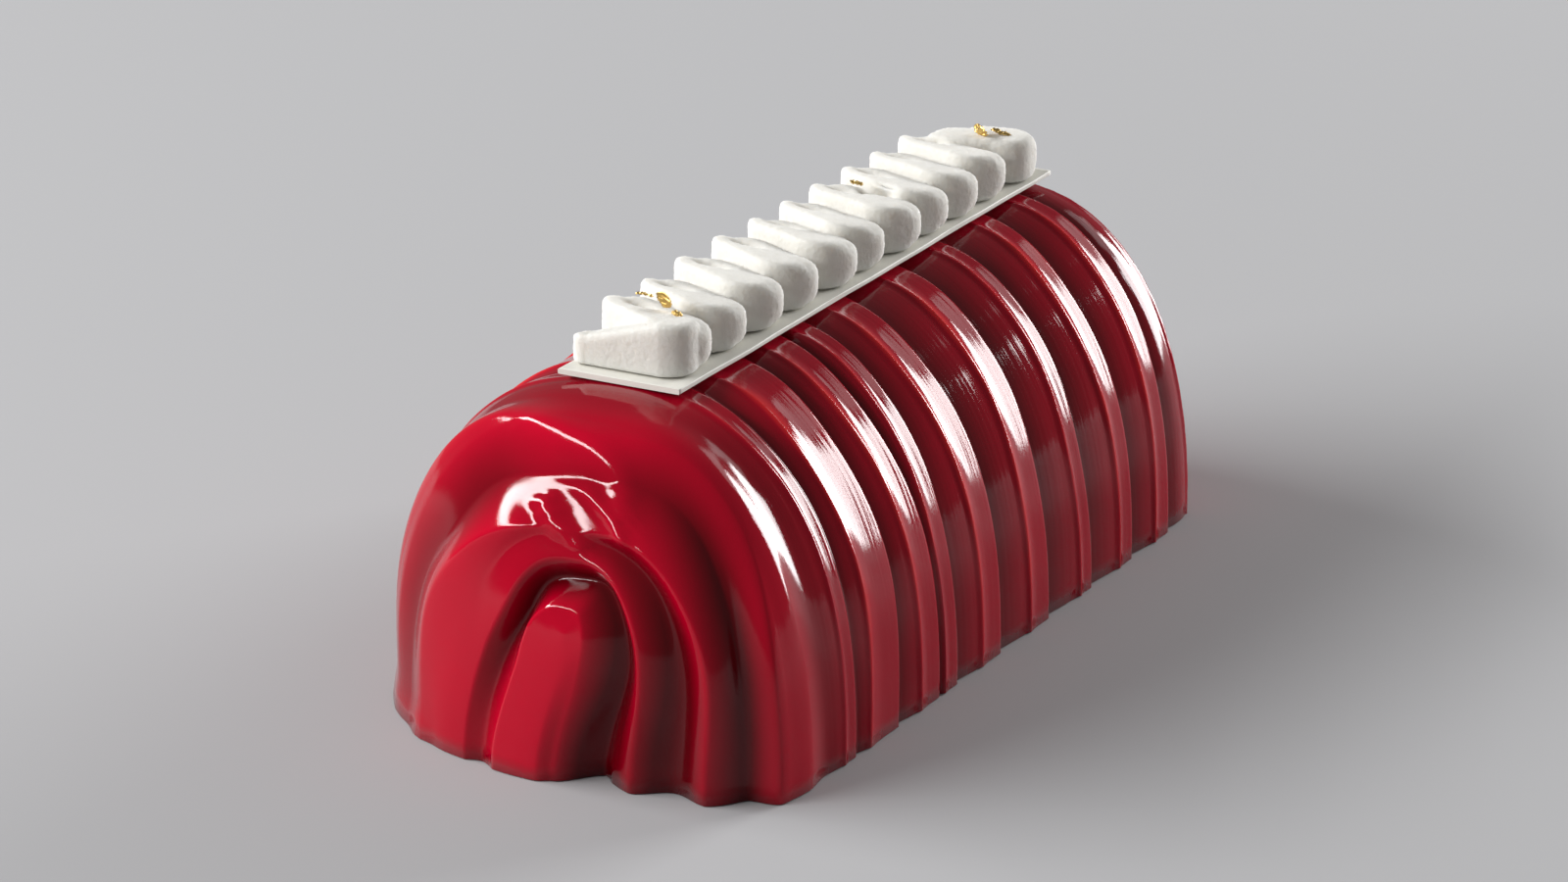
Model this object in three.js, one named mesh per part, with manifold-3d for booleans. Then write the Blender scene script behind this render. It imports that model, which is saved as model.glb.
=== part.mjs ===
// A glazed yule log cake: a pleated, mirror-glazed log, a thin white chocolate plaque along its
// top, and a tight zigzag of piped cream with a few flecks of gold leaf.
// Millimetres, +Z up, +Y from the near front end to the far end. The origin is the middle of the base.
import * as THREE from "three";
import Module from "manifold-3d";

// Driving dimensions of the log
const LOG_LENGTH = 200;
const LOG_WIDTH = 90;
const LOG_HEIGHT = 64;
const NOSE_LENGTH = 30; // how much of each end is rounded
const ARCH_POWER = 2.41; // super-ellipse power of the cross section
const SQUARE_CORNER = 4.2; // plan power of the squarer front right corner
const ROUND_CORNER = 1.95; // plan power of the other three corners

// Driving dimensions of the plaque
const PLAQUE_LENGTH = 148;
const PLAQUE_WIDTH = 24.8;
const PLAQUE_THICKNESS = 1;
const PLAQUE_MIDDLE_Y = 4.7;
const PLAQUE_SKEW_DEG = -0.2;
const RESTING_GAP = 0.3; // between a piece and what it rests on

// Driving dimensions of the piped cream. It starts at the near left and zigzags between turns on
// the right and on the left, which stand close enough to merge along the middle.
const PIPING_HEIGHT = 10.1;
const TURN_RADIUS = 6.3;
const TURN_X = 5; // how far the middle of a turn is from the centre line
const PIPING_SHEAR = 0.012; // how far the piping drifts to the right for each mm along the log
const RIGHT_TURNS_Y = [-57.5, -44.3, -31.2, -17.5, -2.8, 8.3, 21.6, 33.4, 45.8, 57.8];
const LEFT_TURNS_Y = [-52, -39.6, -25.6, -12, 1.6, 13.4, 25.8, 37.6, 50, 61.6];
const STROKES = [
  { from: [-7.6, -62.6], to: [-5, -62.6], width: 8, height: 6.2 },
  { from: [-3, -62.4], to: [6, -62.2], width: 8.8, height: 8.2 },
  { from: [-3.6, 67.6], to: [2, 69.4], width: 11, height: 8.9 },
  { from: [2, 71], to: [4.4, 71.4], width: 13.4, height: 8.7 },
];
const LOBE_POWER = 2.9; // super-ellipse power of a lobe in height
const PLAN_POWER = 2.4; // and in plan
const WIDEST_AT = 0.42; // share of the height where a lobe is widest
const FOOT_DEPTH = 0.82; // how far down the lower half of the super-ellipse the foot cuts it
const LOBE_SIDES = 12;
const LOBE_LEVELS = 6;
const LOBE_OVERLAP = 0.5; // how far a turn's lobe runs past the centre line
const TURN_UNEVENNESS = 0.3; // mm that a turn may lie further out or in
const STEP_UNEVENNESS = 0.5; // mm that a lobe's inner end may lie further on or back
const SIZE_UNEVENNESS = 0.03; // share of a lobe's width and height

// Flecks of gold leaf that stand on the cream: middle of each, its size, and its turn and tilt in
// degrees.
const GOLD_FLECKS = [
  { at: [1.4, -55.3, 75.6], size: [0.6, 3, 4], turn: 25, tilt: -20 },
  { at: [-4.6, -52, 74.8], size: [3.2, 1.4, 1], turn: 30, tilt: 6 },
  { at: [5.6, -58, 74.8], size: [2.2, 1.8, 1.4], turn: -20, tilt: 15 },
  { at: [-2.2, 25.4, 74.8], size: [2.6, 1.4, 1], turn: 10, tilt: 5 },
  { at: [3.4, 66.4, 74.6], size: [0.7, 2.4, 4.4], turn: -15, tilt: 15 },
  { at: [6.4, 69.4, 73.8], size: [4.2, 1.8, 1.6], turn: 8, tilt: -4 },
];

// The folds, from the front seam to the corner. Each is an arch of glaze with two feet on the base
// outline and a top on the centre line. right, left and top are lengths in mm from the front seam,
// along the base outline and up the centre line. relief, in mm, is how far the fold stands out of
// the smooth loaf at the right foot, half way up on the right, at the top, half way up on the left
// and at the left foot.
const FRONT_FOLDS = [
  { right: 0, left: 0, top: 27, relief: [1.0, 1.2, 1.2, 1.2, 1.0] },
  { right: 8, left: 9, top: 35, relief: [-0.5, 0.8, 0.6, 1.5, 1.0] },
  { right: 13, left: 14, top: 39.5, relief: [-6, -4, -2.6, -2.8, 0.4] },
  { right: 19, left: 17, top: 42.5, relief: [-1.2, 0.8, 0.2, 0.4, 0.8] },
  { right: 26, left: 21, top: 46.5, relief: [-4.4, -3, -1, -0.5, 0.6] },
  { right: 34, left: 28, top: 51.5, relief: [-0.2, 0.6, 0.8, 0.4, -1] },
  { right: 41, left: 36, top: 57.5, relief: [-3, -3.4, -1.2, -2.6, -2.2] },
  { right: 49, left: 44, top: 66, relief: [1.4, 1.2, 0.3, -0.6, -1.2] },
];
const BACK_FOLDS = [
  { right: 0, left: 0, top: 26, relief: [0.8, 1.0, 1.0, 1.0, 0.8] },
  { right: 9, left: 8, top: 34, relief: [0.8, 1.2, 0.6, 0.8, 0.4] },
  { right: 14, left: 13, top: 39, relief: [-1.5, -3, -2.4, -3.2, -3] },
  { right: 19, left: 18, top: 43.5, relief: [0.4, 0.6, 0.2, 0.8, 0] },
  { right: 26, left: 25, top: 49, relief: [-1.2, -2, -1.2, -2.4, -2] },
  { right: 34, left: 33, top: 56, relief: [0.6, 0.8, 0.6, 0.8, 0.4] },
  { right: 41, left: 40, top: 63, relief: [-1, -1.8, -1, -1.8, -1.2] },
];

// The pleats along the sides: where the near edge of each lies, how wide its flat crest is and how
// high it stands over the hollows beside it.
const SIDE_PLEATS = [
  { near: -69, width: 4, height: 1.6 },
  { near: -58.5, width: 11, height: 2.0 },
  { near: -39.6, width: 7, height: 2.0 },
  { near: -29.4, width: 5, height: 1.8 },
  { near: -15.5, width: 8, height: 2.1 },
  { near: 5.5, width: 8, height: 2.1 },
  { near: 26, width: 5, height: 2.0 },
  { near: 43.2, width: 6, height: 2.2 },
  { near: 59.6, width: 6, height: 2.2 },
  { near: 76.6, width: 5, height: 1.8 },
];
// A pleat's near edge, its far edge and the hollow after it, as shares of its height, and how far
// that hollow lies from the far edge to the next pleat. Pleats fade to half at the feet.
const NEAR_SHARE = 0.5;
const FAR_SHARE = 0.35;
const HOLLOW_SHARE = -0.5;
const HOLLOW_AT = 0.6;
const FOOT_FADE = 0.5;
const HOLLOW_TOP = 0.5; // a hollow is half as deep on the centre line, where a crest is level
const FRONT_LEAN = 5.5; // how far the tops of the front folds lean to the right
const LEAN_HEIGHT = 30; // height at which they have leaned that far
const TOP_DRIFT = 4; // how far the pleats drift towards the far end near the top
const DRIFT_START = 0.55; // the share of the way up where that begins
const DRIFT_FADE = 0.5; // the share of the nose over which the drift fades out
const TONGUE_POWER = 3.2; // the lowest front arch is squarer than the others
const LOG_STEP = 2.9; // mm between the arches of the mesh
const LEG_STEPS = 14; // steps from a foot to the top of an arch
const OUTLINE_STEPS = 240; // steps in an outline that is measured by length

const HALF_WIDTH = LOG_WIDTH / 2;
const HALF_LENGTH = LOG_LENGTH / 2;
const NOSE_START = HALF_LENGTH - NOSE_LENGTH;

const mix = (a, b, s) => a + (b - a) * s;
const clamp = (v, low, high) => Math.min(Math.max(v, low), high);
const smooth = (s) => s * s * (3 - 2 * s);

// A line of points with the distance along it, read by that distance.
function measured(points) {
  const along = [0];
  for (let i = 1; i < points.length; i++) {
    const [a, b] = [points[i - 1], points[i]];
    along.push(along[i - 1] + Math.hypot(b[0] - a[0], b[1] - a[1]));
  }
  const at = (distance) => {
    const d = clamp(distance, 0, along[along.length - 1]);
    let i = 1;
    while (i < points.length - 1 && along[i] < d) i++;
    const s = (d - along[i - 1]) / (along[i] - along[i - 1]);
    return [mix(points[i - 1][0], points[i][0], s), mix(points[i - 1][1], points[i][1], s)];
  };
  return { at, total: along[along.length - 1] };
}

// A quarter of a super-ellipse, from [0, 0] where it is level with the nose tip to [width, nose].
function quarter(width, nose, power) {
  const points = [];
  for (let i = 0; i <= OUTLINE_STEPS; i++) {
    const angle = (i / OUTLINE_STEPS) * (Math.PI / 2);
    points.push([
      width * Math.sin(angle) ** (2 / power),
      nose * (1 - Math.cos(angle) ** (2 / power)),
    ]);
  }
  return measured(points);
}
const squareOutline = quarter(HALF_WIDTH, NOSE_LENGTH, SQUARE_CORNER);
const roundOutline = quarter(HALF_WIDTH, NOSE_LENGTH, ROUND_CORNER);
const noseProfile = quarter(LOG_HEIGHT, NOSE_LENGTH, ARCH_POWER);

// The foot of an arch that is so far from the seam: [x, y], with x out from the centre line.
function foot(end, side, distance) {
  const outline = end < 0 && side > 0 ? squareOutline : roundOutline;
  const [x, fromTip] = outline.at(distance);
  return [x, end * (HALF_LENGTH - fromTip - Math.max(distance - outline.total, 0))];
}

// The top of an arch that is so far up the centre line from the base: [y, z].
function crown(end, distance) {
  const [z, fromTip] = noseProfile.at(distance);
  return [end * (HALF_LENGTH - fromTip - Math.max(distance - noseProfile.total, 0)), z];
}

// The arches that carry the folds, in order from the front seam to the back seam. Each row has the
// y and reach of both feet, the y and height of its top, its relief and its arch power.
function endRows(end, folds) {
  return folds.map((fold, i) => {
    const [rightX, rightY] = foot(end, 1, fold.right);
    const [leftX, leftY] = foot(end, -1, fold.left);
    const [topY, topZ] = crown(end, fold.top);
    const power = mix(TONGUE_POWER, ARCH_POWER, i / (folds.length - 1));
    const lean = end < 0 ? FRONT_LEAN * (1 - smooth(i / (folds.length - 1))) : 0;
    return { rightX, rightY, leftX, leftY, topY, topZ, power, lean, drift: 0, relief: fold.relief };
  });
}

// An arch across the log at a place along it, standing out of the loaf by a height on both sides.
function sideRow(y, height) {
  const end = Math.sign(y) || 1;
  const past = Math.abs(y) - NOSE_START; // how far into the rounded end
  const [rightX, rightY] = foot(end, 1, outlineLength(end, 1) - past);
  const [leftX, leftY] = foot(end, -1, outlineLength(end, -1) - past);
  const [topY, topZ] = crown(end, noseProfile.total - past);
  const atFoot = height * FOOT_FADE;
  const relief = [atFoot, height, Math.min(0, height) * HOLLOW_TOP, height, atFoot];
  const drift = TOP_DRIFT * clamp((HALF_LENGTH - Math.abs(y)) / NOSE_LENGTH - DRIFT_FADE, 0, 1);
  return { rightX, rightY, leftX, leftY, topY, topZ, power: ARCH_POWER, lean: 0, drift, relief };
}

// How long the base outline of one quarter is, from the seam to where the straight side begins.
function outlineLength(end, side) {
  return (end < 0 && side > 0 ? squareOutline : roundOutline).total;
}


// The front folds, the two edges of every pleat with the hollows between them, and the back folds.
function allRows() {
  const sides = [];
  SIDE_PLEATS.forEach((pleat, i) => {
    const next = SIDE_PLEATS[i + 1];
    const farEdge = pleat.near + pleat.width;
    sides.push(sideRow(pleat.near, pleat.height * NEAR_SHARE));
    sides.push(sideRow(farEdge, pleat.height * FAR_SHARE));
    if (next) sides.push(sideRow(mix(farEdge, next.near, HOLLOW_AT), pleat.height * HOLLOW_SHARE));
  });
  return [...endRows(-1, FRONT_FOLDS), ...sides, ...endRows(1, BACK_FOLDS).reverse()];
}

// How far a point lies out of the smooth loaf: 1 on it. The two horizontal measures join by the
// plan power, and their sum joins the height by the arch power.
function loafMeasure(x, noseY, z, power) {
  const plan = (Math.abs(x) / HALF_WIDTH) ** power + (Math.abs(noseY) / NOSE_LENGTH) ** power;
  return plan ** (ARCH_POWER / power) + (Math.abs(z) / LOG_HEIGHT) ** ARCH_POWER;
}

// The direction square to the loaf at a point on it.
function loafNormal(x, noseY, z, power) {
  const [px, py] = [Math.abs(x) / HALF_WIDTH, Math.abs(noseY) / NOSE_LENGTH];
  const plan = Math.max(px ** power + py ** power, 1e-9);
  const pull = plan ** (ARCH_POWER / power - 1);
  return new THREE.Vector3(
    (Math.sign(x) * pull * px ** (power - 1)) / HALF_WIDTH,
    (Math.sign(noseY) * pull * py ** (power - 1)) / NOSE_LENGTH,
    (z / LOG_HEIGHT) ** (ARCH_POWER - 1) / LOG_HEIGHT,
  ).normalize();
}

// A point of one leg of an arch, at a share of the way from the foot to the top. The leg is a
// quarter of a super-ellipse as seen from the end, drawn on to the loaf and moved by the relief.
function legPoint(row, side, share) {
  const footX = side > 0 ? row.rightX : row.leftX;
  const footY = side > 0 ? row.rightY : row.leftY;
  const angle = share * (Math.PI / 2);
  const across = side * footX * Math.cos(angle) ** (2 / row.power);
  const up = row.topZ * Math.sin(angle) ** (2 / row.power);
  const drift = row.drift * smooth(clamp((share - DRIFT_START) / (1 - DRIFT_START), 0, 1));
  const y = mix(footY, row.topY, Math.sin(angle) ** 2) + drift;
  const middleY = clamp(y, -NOSE_START, NOSE_START);
  const power = side > 0 && y < 0 ? SQUARE_CORNER : ROUND_CORNER;
  const scale = loafMeasure(across, y - middleY, up, power) ** (-1 / ARCH_POWER);
  const [x, noseY, z] = [across * scale, (y - middleY) * scale, up * scale];
  const [low, half, top] = side > 0 ? row.relief.slice(0, 3) : row.relief.slice(2).reverse();
  const upper = share >= 0.5;
  const relief = mix(upper ? half : low, upper ? top : half, smooth(share * 2 - (upper ? 1 : 0)));
  const point = new THREE.Vector3(x, middleY + noseY, z);
  point.addScaledVector(loafNormal(x, noseY, z, power), relief);
  point.x += row.lean * smooth(clamp(z / LEAN_HEIGHT, 0, 1));
  point.z = share === 0 ? 0 : Math.max(point.z, 0);
  return point;
}

// A row between two others: everything in it is mixed, the relief by a smooth step.
function rowBetween(a, b, s) {
  const row = { relief: a.relief.map((v, i) => mix(v, b.relief[i], smooth(s))) };
  for (const key of Object.keys(a)) if (key !== "relief") row[key] = mix(a[key], b[key], s);
  return row;
}

// Closed mesh of a list of faces given by corner points, with corners that coincide joined.
class Shell {
  constructor() {
    this.positions = [];
    this.triangles = [];
    this.seen = new Map();
  }
  corner(point) {
    const key = [point.x, point.y, point.z].map((v) => Math.round(v * 1000)).join();
    if (!this.seen.has(key)) {
      this.seen.set(key, this.positions.length / 3);
      this.positions.push(point.x, point.y, point.z);
    }
    return this.seen.get(key);
  }
  triangle(a, b, c) {
    const [i, j, k] = [this.corner(a), this.corner(b), this.corner(c)];
    if (i !== j && j !== k && k !== i) this.triangles.push(i, j, k);
  }
  quad(a, b, c, d) {
    this.triangle(a, b, c);
    this.triangle(a, c, d);
  }
  geometry() {
    const geometry = new THREE.BufferGeometry();
    geometry.setAttribute("position", new THREE.Float32BufferAttribute(this.positions, 3));
    geometry.setIndex(this.triangles);
    geometry.computeVertexNormals();
    return geometry;
  }
}

// The log: every arch as a line of points from the right foot over the top to the left foot, with
// faces between neighbours, and a flat base between the feet.
function logGeometry() {
  const rows = allRows();
  const arches = [];
  rows.forEach((row, i) => {
    const next = rows[i + 1];
    const steps = next ? Math.max(1, Math.round(rowDistance(row, next) / LOG_STEP)) : 1;
    for (let k = 0; k < steps; k++) arches.push(next ? rowBetween(row, next, k / steps) : row);
  });
  const lines = arches.map((row) => {
    const line = [];
    for (let j = 0; j <= LEG_STEPS; j++) line.push(legPoint(row, 1, j / LEG_STEPS));
    for (let j = LEG_STEPS - 1; j >= 0; j--) line.push(legPoint(row, -1, j / LEG_STEPS));
    return line;
  });
  const shell = new Shell();
  for (let i = 1; i < lines.length; i++) {
    const [a, b] = [lines[i - 1], lines[i]];
    const last = a.length - 1;
    for (let j = 0; j < last; j++) shell.quad(a[j], b[j], b[j + 1], a[j + 1]);
  }
  const rightFeet = lines.map((line) => line[0]);
  const leftFeet = lines.map((line) => line[line.length - 1]);
  const outline = [...rightFeet, ...leftFeet.slice(1, -1).reverse()];
  const faces = THREE.ShapeUtils.triangulateShape(outline.map((p) => new THREE.Vector2(p.x, p.y)), []);
  for (const [i, j, k] of faces) shell.triangle(outline[k], outline[j], outline[i]);
  return shell.geometry();
}

// The longest way between two arches, at their feet or their tops.
function rowDistance(a, b) {
  return Math.max(
    Math.hypot(b.topY - a.topY, b.topZ - a.topZ),
    Math.hypot(b.rightX - a.rightX, b.rightY - a.rightY),
    Math.hypot(b.leftX - a.leftX, b.leftY - a.leftY),
  );
}

// A named mesh with its own material.
function piece(name, geometry, color, roughness) {
  const material = new THREE.MeshStandardMaterial({ color, roughness, metalness: 0 });
  const mesh = new THREE.Mesh(geometry, material);
  mesh.name = name;
  return mesh;
}

// The plaque: a thin flat sheet that rests on the ridge of the log.
function plaque() {
  const box = new THREE.BoxGeometry(PLAQUE_WIDTH, PLAQUE_LENGTH, PLAQUE_THICKNESS);
  const mesh = piece("chocolate_plaque", box, 0xefeade, 0.5);
  mesh.rotation.z = THREE.MathUtils.degToRad(PLAQUE_SKEW_DEG);
  mesh.position.set(0, PLAQUE_MIDDLE_Y, LOG_HEIGHT + RESTING_GAP + PLAQUE_THICKNESS / 2);
  return mesh;
}

const wasm = await Module();
wasm.setup();

// A closed shell as a solid that others can be joined to.
function solidOf(shell) {
  const vertProperties = new Float32Array(shell.positions);
  const triVerts = new Uint32Array(shell.triangles);
  return new wasm.Manifold(new wasm.Mesh({ numProp: 3, vertProperties, triVerts }));
}

// The geometry of a solid.
function geometryOf(solid) {
  const { vertProperties, triVerts } = solid.getMesh();
  const geometry = new THREE.BufferGeometry();
  geometry.setAttribute("position", new THREE.BufferAttribute(new Float32Array(vertProperties), 3));
  geometry.setIndex(new THREE.BufferAttribute(new Uint32Array(triVerts), 1));
  geometry.computeVertexNormals();
  return geometry;
}

// Repeatable unevenness between -1 and 1.
function unevenness(seed) {
  let state = seed;
  return () => {
    state = (Math.imul(state, 1664525) + 1013904223) >>> 0;
    return state / 2147483648 - 1;
  };
}

// A lobe of cream from one place to another: a capsule in plan, tucked in at its foot, widest
// below the middle and rounded over at the top, by a super-ellipse in height.
function lobe(from, to, width, height) {
  const base = LOG_HEIGHT + PLAQUE_THICKNESS + 2 * RESTING_GAP;
  const along = Math.atan2(to[1] - from[1], to[0] - from[0]);
  const lowest = -Math.asin(FOOT_DEPTH ** (LOBE_POWER / 2));
  const ring = (level) => {
    const angle = mix(lowest, Math.PI / 2, level / LOBE_LEVELS);
    const rise = Math.sign(angle) * Math.abs(Math.sin(angle)) ** (2 / LOBE_POWER);
    const half = angle < 0 ? WIDEST_AT / FOOT_DEPTH : 1 - WIDEST_AT;
    const z = base + height * (WIDEST_AT + half * rise);
    const reach = level === LOBE_LEVELS ? 0 : (width / 2) * Math.cos(angle) ** (2 / LOBE_POWER);
    const points = [];
    for (let k = 0; k < LOBE_SIDES; k++) {
      const turn = ((k + 0.5) / LOBE_SIDES) * 2 * Math.PI;
      const [c, s] = [Math.cos(turn), Math.sin(turn)];
      const ahead = reach * Math.sign(c) * Math.abs(c) ** (2 / PLAN_POWER);
      const aside = reach * Math.sign(s) * Math.abs(s) ** (2 / PLAN_POWER);
      const end = c > 0 ? to : from;
      const x = end[0] + ahead * Math.cos(along) - aside * Math.sin(along);
      const y = end[1] + ahead * Math.sin(along) + aside * Math.cos(along);
      points.push(new THREE.Vector3(x, y, z));
    }
    return points;
  };
  const shell = new Shell();
  const foot = ring(0);
  for (let k = 2; k < LOBE_SIDES; k++) shell.triangle(foot[0], foot[k], foot[k - 1]);
  for (let level = 1; level <= LOBE_LEVELS; level++) {
    const [low, high] = [ring(level - 1), ring(level)];
    for (let k = 0; k < LOBE_SIDES; k++) {
      const next = (k + 1) % LOBE_SIDES;
      shell.quad(low[k], low[next], high[next], high[k]);
    }
  }
  return shell;
}

// One fleck: a small block, turned and tilted.
function fleckShell({ at, size, turn, tilt }) {
  const [x, y, z] = size.map((length) => length / 2);
  const place = new THREE.Matrix4()
    .makeTranslation(...at)
    .multiply(new THREE.Matrix4().makeRotationZ(THREE.MathUtils.degToRad(turn)))
    .multiply(new THREE.Matrix4().makeRotationY(THREE.MathUtils.degToRad(tilt)));
  const corner = (sx, sy, sz) => new THREE.Vector3(sx * x, sy * y, sz * z).applyMatrix4(place);
  const low = [corner(-1, -1, -1), corner(1, -1, -1), corner(1, 1, -1), corner(-1, 1, -1)];
  const high = [corner(-1, -1, 1), corner(1, -1, 1), corner(1, 1, 1), corner(-1, 1, 1)];
  const shell = new Shell();
  shell.quad(low[3], low[2], low[1], low[0]);
  shell.quad(...high);
  for (let k = 0; k < 4; k++) {
    const next = (k + 1) % 4;
    shell.quad(low[k], low[next], high[next], high[k]);
  }
  return shell;
}

// The piped cream: its first and last strokes and a lobe at every turn, which reaches past the
// centre line, with the flecks, in one solid.
function pipedCream() {
  const uneven = unevenness(7);
  const sheared = ([x, y]) => [x + y * PIPING_SHEAR, y];
  const turnLobe = (side) => (y) => {
    const outer = sheared([side * TURN_X + uneven() * TURN_UNEVENNESS, y]);
    const inner = sheared([-side * LOBE_OVERLAP, y + uneven() * STEP_UNEVENNESS]);
    const width = 2 * TURN_RADIUS * (1 + uneven() * SIZE_UNEVENNESS);
    const height = PIPING_HEIGHT * (1 + (uneven() - 1) * SIZE_UNEVENNESS);
    return lobe(inner, outer, width, height);
  };
  const shells = [
    ...STROKES.map(({ from, to, width, height }) => lobe(sheared(from), sheared(to), width, height)),
    ...RIGHT_TURNS_Y.map(turnLobe(1)),
    ...LEFT_TURNS_Y.map(turnLobe(-1)),
    ...GOLD_FLECKS.map(fleckShell),
  ];
  return shells.map(solidOf).reduce((all, solid) => all.add(solid));
}

const cake = new THREE.Group();
cake.add(piece("glazed_log", logGeometry(), 0xa8001c, 0.08));
cake.add(plaque());
cake.add(piece("piped_cream", geometryOf(pipedCream()), 0xefebe2, 0.9));

// The origin is the middle of the underside of the whole cake's box.
const middle = new THREE.Box3().setFromObject(cake).getCenter(new THREE.Vector3());
for (const mesh of cake.children) {
  mesh.position.x -= middle.x;
  mesh.position.y -= middle.y;
}

export default cake;
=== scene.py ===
import math
from collections import namedtuple

import bmesh
import bpy
import numpy as np
from bpy.props import FloatProperty, FloatVectorProperty, IntProperty, PointerProperty
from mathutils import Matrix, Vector


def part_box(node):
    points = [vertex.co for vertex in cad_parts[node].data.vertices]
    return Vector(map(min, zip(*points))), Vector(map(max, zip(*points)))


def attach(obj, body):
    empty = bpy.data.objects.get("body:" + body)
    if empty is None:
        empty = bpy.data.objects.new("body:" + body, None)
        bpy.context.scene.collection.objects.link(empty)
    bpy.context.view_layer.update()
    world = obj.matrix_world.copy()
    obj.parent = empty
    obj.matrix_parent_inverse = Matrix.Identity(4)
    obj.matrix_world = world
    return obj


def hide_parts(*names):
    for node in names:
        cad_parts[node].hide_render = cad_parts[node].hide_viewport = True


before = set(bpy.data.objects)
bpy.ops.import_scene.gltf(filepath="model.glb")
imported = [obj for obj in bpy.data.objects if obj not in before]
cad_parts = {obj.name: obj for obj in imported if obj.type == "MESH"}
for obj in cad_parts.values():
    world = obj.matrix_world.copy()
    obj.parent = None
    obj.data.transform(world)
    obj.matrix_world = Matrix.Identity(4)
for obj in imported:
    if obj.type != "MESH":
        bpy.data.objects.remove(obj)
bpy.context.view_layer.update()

# The looks of a glazed yule log cake. Everything is in metres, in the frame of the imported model:
# +Z up, +Y along the log from its front end, +X to the right seen from the front.

bl_info = {
    "name": "Glazed yule log cake",
    "version": (1, 0, 0),
    "blender": (4, 5, 0),
    "location": "3D View > Sidebar > Cake",
    "description": "A pleated log under mirror glaze, with a chocolate plaque, piped cream and gold leaf",
    "category": "Object",
}

MM = 0.001
LOG_LOW, LOG_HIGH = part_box("glazed_log")
PLAQUE_LOW, PLAQUE_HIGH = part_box("chocolate_plaque")
CREAM_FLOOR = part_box("piped_cream")[0][2]

# The smooth loaf under the folds
CREST_SIDE = 0.75 * MM  # how far the crests stand out of the loaf at the sides
CREST_END = 0.9 * MM  # and at the ends
HALF_WIDTH = (LOG_HIGH[0] - LOG_LOW[0]) / 2 - CREST_SIDE
HALF_LENGTH = (LOG_HIGH[1] - LOG_LOW[1]) / 2 - CREST_END
HEIGHT = 64 * MM
NOSE = 30 * MM  # length of each rounded end
NOSE_START = HALF_LENGTH - NOSE
ARCH_POWER = 2.41  # of the super-ellipse seen from the end
TONGUE_POWER = 3.2  # of the same for the innermost arch of an end
SQUARE_CORNER = 4.2  # of the super-ellipse in plan at the near right corner
ROUND_CORNER = 1.95  # and at the other three corners
LEAN_HEIGHT = 30 * MM  # height at which the front folds have their whole lean
TOP_DRIFT = 4 * MM  # how far the pleats' tops drift to the far end
DRIFT_START = 0.55  # share of a leg's rise at which the drift starts
DRIFT_FADE = 0.5  # share of the nose, from its tip, that has no drift
OUTLINE_STEPS = 400
TINY = 1e-12  # keeps a power of nought from failing at the tops
LOAF_SHIFT = (-0.202 * MM, 0.1 * MM)  # puts the folded log in the middle of its box
SIDE_REACH = 81.6 * MM  # the arches across the log run this far each way from its middle
SIDE_STEP = 2 * MM
MERGE_GAP = 0.001 * MM

# The arches of the two ends, from the seam: how far the right foot, the left foot and the top lie
# from the seam, in mm.
FRONT_ARCHES = ((0, 0, 27), (8, 9, 35), (13, 14, 39.5), (19, 17, 42.5), (26, 21, 46.5), (34, 28, 51.5),
                (41, 36, 57.5), (49, 44, 66))
BACK_ARCHES = ((0, 0, 26), (9, 8, 34), (14, 13, 39), (19, 18, 43.5), (26, 25, 49), (34, 33, 56), (41, 40, 63))

# The folds of the two ends, from the seam outwards. Each has its places, in mm from the seam along
# the centre line, and its heights, in mm out of the loaf. Both are given at even steps from the
# right foot over the top to the left foot. The last three numbers say how sharp the crest or crease
# is on the right, at the top and on the left.
FRONT_FOLDS = (
    ((0,) * 9, (1.5,) * 9, (0, 0, 0)),
    ((3, 4, 5, 5.6, 5.6, 6.6, 8.2, 7.8, 8),
     (0.2, 0.8, 1.3, 1.2, 1.0, 1.2, 1.5, 1.4, 1.2), (0.1, 0.8, 1.6)),
    ((10, 12.5, 12.5, 12, 10.5, 10.5, 10.8, 12, 11.5),
     (-6.5, -4.6, -3.6, -3.4, -3.2, -3.2, -3.2, -2.2, -0.6), (0.5, 0.5, 0.3)),
    ((15, 15.2, 15, 14.5, 14, 13.4, 13.3, 14.4, 14.5),
     (-1.0, 0.2, 0.8, 0.6, 0.0, 0.4, 0.8, 0.8, 0.8), (0.6, 0.4, 1.4)),
    ((19, 19.6, 19.5, 18.5, 17.5, 17.5, 18, 19, 19.5),
     (-4.4, -3.6, -3.0, -2.0, -0.5, 0.2, 0.4, 0.7, 0.9), (0, 0, 0)),
    ((23.6, 24.2, 22.8, 21, 19, 20.4, 23.6, 26.6, 25),
     (-0.3, 0.4, 0.8, 0.9, -0.3, 1.5, 1.5, 0.9, 0.2), (0.6, 0.8, 0.9)),
    ((30.5, 30.6, 31, 31, 28, 29.5, 29.5, 32, 31),
     (-3.0, -3.2, -3.0, -1.7, -0.4, -1.7, -1.9, -1.6, -1.4), (0, 0.8, 0)),
    ((36, 36.4, 38.8, 39, 35.8, 41, 43, 42, 40),
     (1.2, 1.1, 1.0, 0.8, 1.4, 1.5, 1.2, 0.6, -1.2), (0.3, 0.5, 0.3)),
    ((46, 46, 46, 46, 44, 46, 47, 47, 47),
     (-0.4, -0.4, -0.4, -0.2, 0, -0.2, -0.4, -0.4, -0.5), (0, 0, 0)),
)
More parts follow.
